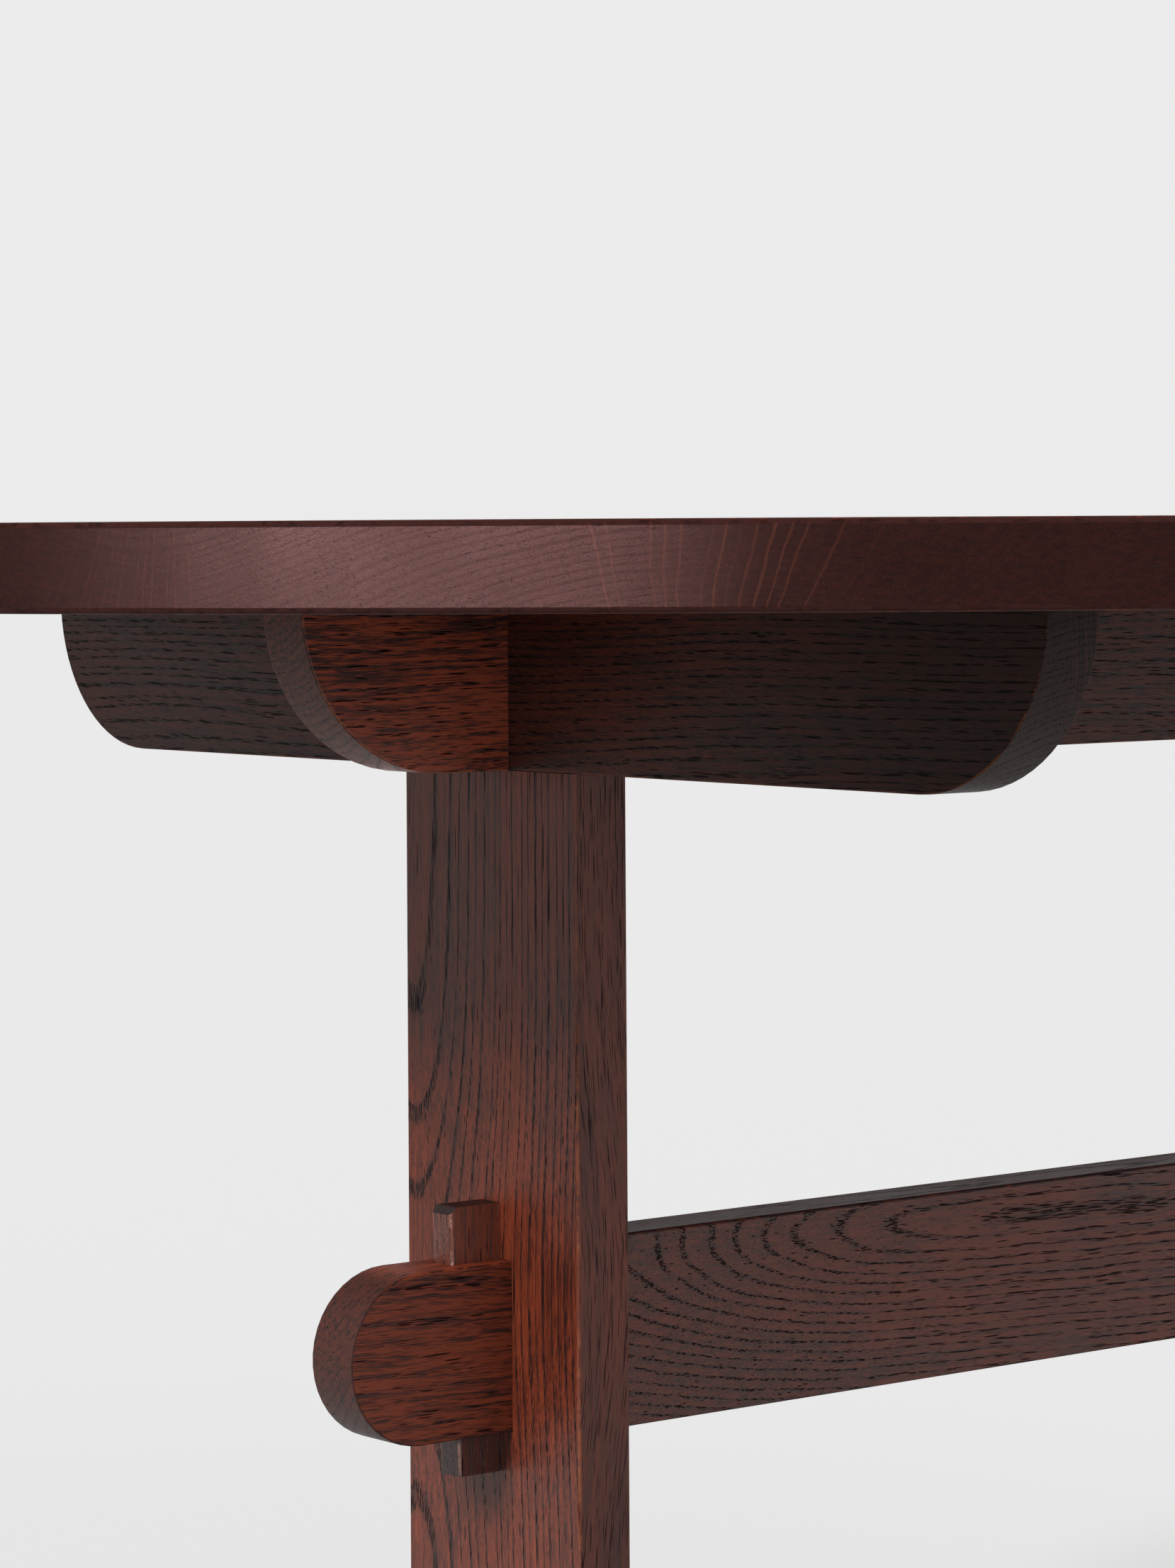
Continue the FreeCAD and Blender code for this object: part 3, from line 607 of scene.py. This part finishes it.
BEARER = dict(grain="Y", thickness="X", ring=3.4, wander=0.6)
FOOT = dict(grain="Y", thickness="X", shade=0.7)
WEDGE = dict(
    grain="Z",
    thickness="Y",
    ring=3.4,
    wander=0.5,
    pores=0.15,
    streaks=0.6,
    relief=1.0,
    end_soak=0.85,
    # painted shadow: the wedge darkens towards its bottom, below the tongue
    fade=(315, 18, 90, 0.45, 1.0),
    # a paler rub and a painted highlight along the arrises
    arris_wear_and_painted_light=RUBBED_AND_HIGHLIT_COLOUR,
    scuff=0.32,
    specular=0.62,
    # painted shade: the wedges' narrow faces at half the brightness
    painted_side_shade=0.5,
    # painted reflection: the wedges' narrow faces reflect less
    painted_side_sheen=0.71,
)
WOODS = {
    "left_post": Wood(
        grain="Z",
        thickness="X",
        pith=(20, 55),
        swell=(-14, 400, 90),
        ring=4.8,
        wander=0.25,
        ripple=0.08,
        seed=3,
        wear_and_painted_light=0.48,
        shade=0.75,
        banding=0.32,
        streaks=0.85,
        side_pores=0.24,
        side_rings=0.3,
        side_vessel=17.0,
        side_girth=0.40,
        side_streaks=0.5,
        vessel=28.0,
        specular=0.40,
        # painted light and shade: the post is darker low down and lighter towards its top
        fade=(81, 215, 548, 0.92, 1.2),
        # painted reflection: the post reflects less towards its top
        sheen=(81, 215, 330, 1.0, 0.55),
        # painted shade: the post's narrow faces a little darker
        painted_side_shade=0.93,
        # painted reflection: the post's narrow faces reflect less
        painted_side_sheen=0.82,
    ),
    "right_post": Wood(
        grain="Z", thickness="X", pith=(-60, -20), lean=(0.04, 0.03), seed=5, shade=0.75
    ),
    "left_bearer": Wood(
        pith=(40, -75),
        lean=(0.05, 0.02),
        seed=7,
        wear_and_painted_light=0.45,
        pores=0.75,
        shade=0.42,
        specular=0.17,
        end_soak=0.25,
        # painted shade: the bearer darkens towards its -Y end
        fade=(358, 458, 688, 1.0, 0.27),
        # painted reflection: the bearer reflects less towards its -Y end
        sheen=(358, 420, 660, 1.0, 0.5),
        **BEARER,
    ),
    "right_bearer": Wood(
        pith=(-35, 60), lean=(0.05, -0.02), seed=9, shade=0.32, specular=0.16, **BEARER
    ),
    "left_foot": Wood(pith=(45, -50), lean=(0.06, 0.0), seed=11, **FOOT),
    "right_foot": Wood(pith=(-40, -60), lean=(-0.05, 0.02), ring=4.2, seed=13, **FOOT),
    "top_rail": Wood(
        grain="X",
        thickness="Y",
        pith=(50, 90),
        lean=(0.03, 0.0),
        ring=3.4,
        wander=0.6,
        seed=15,
        shade=1.76,
        specular=0.52,
        pores=0.5,
        vessel=9.0,
        streaks=1.9,
        end_soak=0.66,
        # painted reflection: the rail's end grain reflects little
        painted_end_sheen=0.2,
        end_dull=0.12,
        # painted shade: the rail is much darker between the bearers than at its ends
        fade=(0, 560, 630, 0.25, 1.0),
        # painted reflection: the rail's middle reflects less
        sheen=(0, 560, 630, 0.6, 1.0),
    ),
    "stretcher": Wood(
        grain="X",
        thickness="Y",
        pith=(-2.5, 17.5),
        lean=(0, -0.036),
        swell=(-45, -634, 152),
        dip=(2.2, -243, 62),
        shelf=0.0,
        ring=4.2,
        wander=0.12,
        ripple=0.35,
        phase=0.738,
        uneven=0.5,
        seed=17,
        # painted shade: a broken dark line along the stretcher's arrises
        wear_and_painted_light=2.0,
        arris_wear_and_painted_light=DARK_COLOUR,
        shade=0.75,
        # painted light and shade: the tongues beyond the posts lighter, the middle darker
        fade=(0, 600, 640, 0.86, 1.2),
        # painted reflection: the tongues reflect less than the middle
        sheen=(0, 600, 640, 1.0, 0.53),
        pore_fade=(0, 600, 640, 1.0, 0.3),
        streak_fade=(0, 600, 640, 1.0, 1.8),
        vessel=11.0,
        streaks=0.9,
        # painted reflection: the stretcher's narrow faces reflect less, its end grain more
        painted_side_sheen=0.6,
        painted_end_sheen=1.23,
        end_soak=0.72,
        roughness=0.5,
        specular=0.425,
    ),
    "left_wedge": Wood(pith=(30, 50), seed=19, **WEDGE),
    "right_wedge": Wood(pith=(-30, 45), seed=21, **WEDGE),
}

BOARDS = 7
RAYED_BOARD = 2  # the one whose rays show most


def board_wood(number):
    """The wood of one board of the top. The pith lies over one board and under the next, and the
    cut, the rings and the shade differ from board to board."""
    side = -1 if number % 2 == 0 else 1
    return Wood(
        grain="X",
        thickness="Z",
        pith=(12.0 * (number % 3 - 2), side * (120 + 7 * (number % 4))),
        lean=(0.01 * (number % 3 - 1), 0.02),
        ring=3.0 + 0.2 * (number % 3),
        wander=0.8,
        seed=30 + number,
        # painted shade: a broken dark line along the top's arrises
        wear_and_painted_light=5.0,
        arris_wear_and_painted_light=DARK_COLOUR,
        rays=0.24 if number == RAYED_BOARD else 0.08,
        shade=0.74 + 0.05 * (number * 3 % 4),
        end_soak=0.9,
        wide_dull=0.33,
        blotches=0.1,
        pores=0.7,
        side_pores=0.0,
        side_rings=0.4,
        relief=0.25,
        roughness=0.21,
        band_dull=0.05,
        specular=0.25,
        tint=(1.0, 0.53, 0.51),
    )


WOODS.update({f"top_board_{number}": board_wood(number) for number in range(1, BOARDS + 1)})

# ---------------------------------------------------------------- metal and nylon

DARKER_PATCH = 0.7
DULLER_PATCH = 0.06


def plain(name, base, roughness, metallic, grit):
    """A plain surface, a little uneven in its shade and its polish. grit is patches to a metre."""
    material, g = new_material(name)
    place = g.add("ShaderNodeTexCoord").outputs["Object"]
    patches = g.noise(g.vector("MULTIPLY", place, (grit, grit, grit)), detail=3.0)
    darker = tuple(DARKER_PATCH * part for part in base)
    finish = {
        "Base Color": g.mix(g.ease(patches, *TONE_SPAN), (*darker, 1), (*base, 1)),
        "Roughness": g.ease(patches, *TONE_SPAN, roughness - DULLER_PATCH, roughness + DULLER_PATCH),
        "Metallic": metallic,
    }
    shader = g.add("ShaderNodeBsdfPrincipled", finish)
    g.add("ShaderNodeOutputMaterial", {"Surface": shader.outputs[0]})
    return material


steel = plain("zinc_plated_steel", (0.55, 0.55, 0.56), roughness=0.32, metallic=1.0, grit=300)
brass = plain("brass", (0.72, 0.55, 0.28), roughness=0.30, metallic=1.0, grit=300)
nylon = plain("nylon", (0.05, 0.04, 0.035), roughness=0.55, metallic=0.0, grit=200)
METAL = {"top_bolts": steel, "top_washers": steel, "glide_nails": steel, "top_inserts": brass}

# a node that is neither oak nor metal is a glide
for name, thing in frame["nodes"].items():
    material = oak(name, WOODS[name]) if name in WOODS else METAL.get(name, nylon)
    thing.data.materials.clear()
    thing.data.materials.append(material)

# ---------------------------------------------------------------- floor, background and light

BACKGROUND = 0.831  # linear, a pale grey
FLOOR_REACH = 400.0
FLOOR_BOUNCE = 0.4  # how much light the floor throws back on the table
FLOOR_SHARE = 0.30  # how much of the floor's brightness in view takes shadows
FLOOR_LIGHT = 1.43  # how bright the lamps make a white floor
AMBIENT = 0.22

# lamps: the azimuth from +X, the height above the floor and the spread are in degrees
LAMPS = {
    "key": dict(azimuth=-176, height=35.5, strength=5.6, spread=18),
    "front": dict(azimuth=-74, height=26, strength=0.7, spread=36),
    "fill": dict(azimuth=-28, height=14, strength=0.35, spread=44),
    "low": dict(azimuth=-122, height=8, strength=0.36, spread=30),
}
UNMIRRORED = ("key", "low")  # they would leave white patches on the polish

# a row of dim lamps that only the polish shows: azimuth and strength
STRIPS = {-187: 0.09, -178: 0.20, -169: 0.40, -160: 0.54, -151: 0.48, -142: 0.47, -136: 0.36}
STRIP_HEIGHT = 2
STRIP_SPREAD = 12


def grey(part):
    return (part, part, part, 1)


def seen_directly(g):
    """1 for rays that show the background: to the camera, or by a mirror or glass."""
    path = g.add("ShaderNodeLightPath").outputs
    shown = g.math("MAXIMUM", path["Is Camera Ray"], path["Is Glossy Ray"])
    return g.math("MAXIMUM", shown, path["Is Transmission Ray"])


def make_floor():
    """A wide pale floor that takes shadows, and that is clear from beneath."""
    mesh = bpy.data.meshes.new("floor")
    reach = FLOOR_REACH
    corners = [(-reach, -reach, 0), (reach, -reach, 0), (reach, reach, 0), (-reach, reach, 0)]
    mesh.from_pydata(corners, [], [(0, 1, 2, 3)])
    floor = bpy.data.objects.new("floor", mesh)
    bpy.context.scene.collection.objects.link(floor)
    material, g = new_material("pale_floor")
    bounce = g.add("ShaderNodeBsdfDiffuse", {"Color": grey(FLOOR_BOUNCE)}).outputs[0]
    shadowed = g.add("ShaderNodeBsdfDiffuse", {"Color": grey(FLOOR_SHARE)}).outputs[0]
    rest = {"Color": grey(1), "Strength": BACKGROUND - FLOOR_SHARE * FLOOR_LIGHT}
    glow = g.add("ShaderNodeEmission", rest).outputs[0]
    shown = g.add("ShaderNodeAddShader", {0: shadowed, 1: glow}).outputs[0]
    above = g.add("ShaderNodeMixShader", {0: seen_directly(g), 1: bounce, 2: shown}).outputs[0]
    beneath = g.add("ShaderNodeNewGeometry").outputs["Backfacing"]
    clear = g.add("ShaderNodeBsdfTransparent").outputs[0]
    mixed = g.add("ShaderNodeMixShader", {0: beneath, 1: above, 2: clear})
    g.add("ShaderNodeOutputMaterial", {"Surface": mixed.outputs[0]})
    mesh.materials.append(material)


def white_sky(g, strength):
    return g.add("ShaderNodeBackground", {"Color": grey(1), "Strength": strength}).outputs[0]


def make_world():
    """A weak pale light from everywhere, and the background."""
    world = bpy.data.worlds.new("studio")
    bpy.context.scene.world = world
    world.use_nodes = True
    world.node_tree.nodes.clear()
    g = Graph(world.node_tree)
    ambient, shown = white_sky(g, AMBIENT), white_sky(g, BACKGROUND)
    mixed = g.add("ShaderNodeMixShader", {0: seen_directly(g), 1: ambient, 2: shown})
    g.add("ShaderNodeOutputWorld", {"Surface": mixed.outputs[0]})


def make_lamp(name, azimuth, height, strength, spread):
    """A broad soft lamp far away."""
    data = bpy.data.lights.new(name, "SUN")
    data.energy = strength
    data.angle = math.radians(spread)
    lamp = bpy.data.objects.new(name, data)
    turn, lift = math.radians(azimuth), math.radians(height)
    towards = Vector(
        (math.cos(turn) * math.cos(lift), math.sin(turn) * math.cos(lift), math.sin(lift))
    )
    lamp.rotation_euler = towards.to_track_quat("Z", "Y").to_euler()
    bpy.context.scene.collection.objects.link(lamp)
    return lamp


make_camera()
make_floor()
make_world()
for name, values in LAMPS.items():
    lamp = make_lamp(name, **values)
    lamp.visible_glossy = name not in UNMIRRORED
for azimuth, strength in STRIPS.items():
    strip = make_lamp(f"strip_{-azimuth}", azimuth, STRIP_HEIGHT, strength, STRIP_SPREAD)
    strip.visible_diffuse = False
bpy.context.scene.view_settings.view_transform = "Standard"
